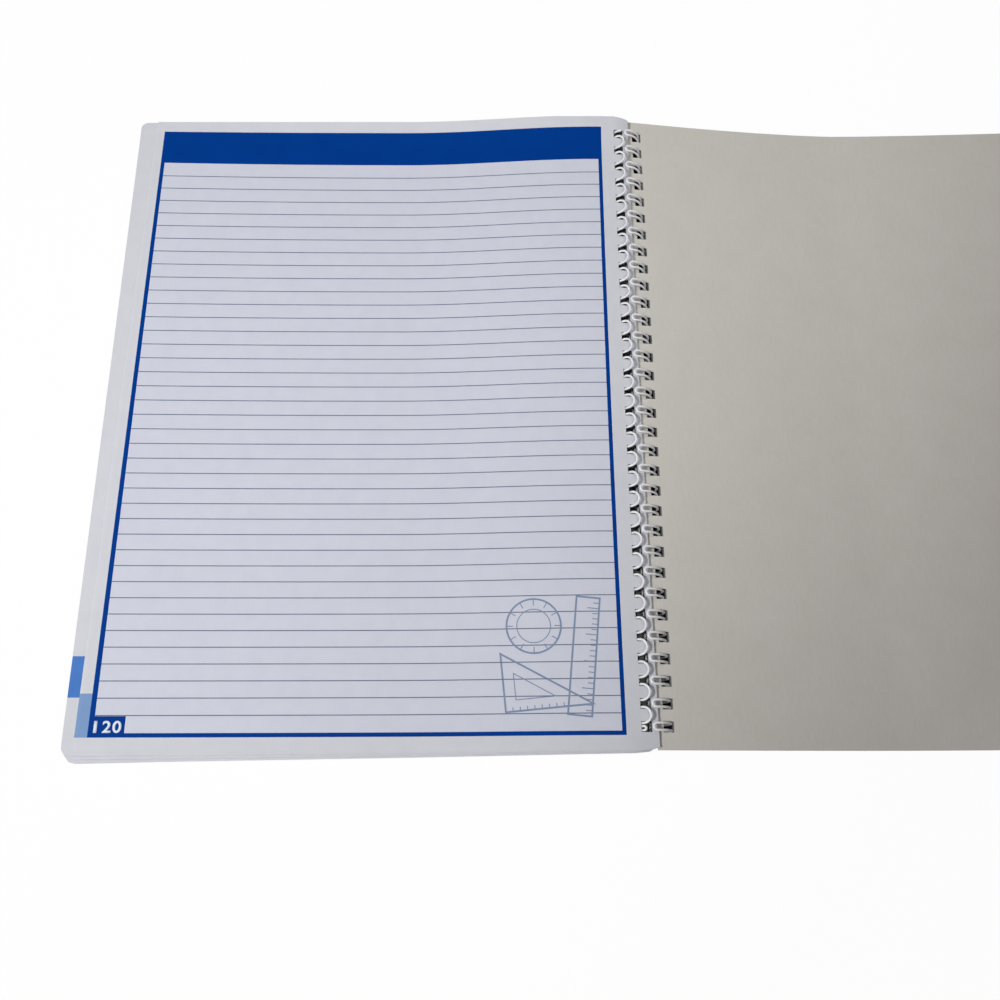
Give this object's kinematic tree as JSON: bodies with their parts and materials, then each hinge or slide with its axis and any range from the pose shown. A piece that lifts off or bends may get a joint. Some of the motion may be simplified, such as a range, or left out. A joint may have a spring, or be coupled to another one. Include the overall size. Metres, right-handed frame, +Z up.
{
  "type": "wire-bound notebook",
  "caption": "Wire-bound notebook lying open at its last ruled page, with leaves and front cover turned to the left and the plain back cover open on the right.",
  "frame": {"origin": "middle of the open book's own box, on the surface that it lies on", "axes": "+X from the leaves' fore-edge to the open back cover, +Y along the spine away from the reader, +Z up"},
  "size_m": [0.4422, 0.283, 0.0143],
  "materials": {
    "paper": "smooth uncoated ruled paper",
    "front_card": "plain uncoated card",
    "back_card": "plain uncoated card",
    "coated_wire": "white nylon coating"
  },
  "bodies": {
    "book": {"page_block": "paper", "binding_wire": "coated_wire"},
    "front_cover": {"front_cover": "front_card"},
    "back_cover": {"back_cover": "back_card"}
  },
  "joints": [
    {"name": "front_cover_swing", "type": "hinge", "parent": "book", "child": "front_cover", "pos_m": [0.00004, 0, 0.00715], "axis": [0, -1, 0], "range_deg": [0, 130]},
    {"name": "back_cover_swing", "type": "hinge", "parent": "book", "child": "back_cover", "pos_m": [0.00244, 0, 0.0106], "axis": [0, -1, 0], "range_deg": [0, 145]}
  ]
}
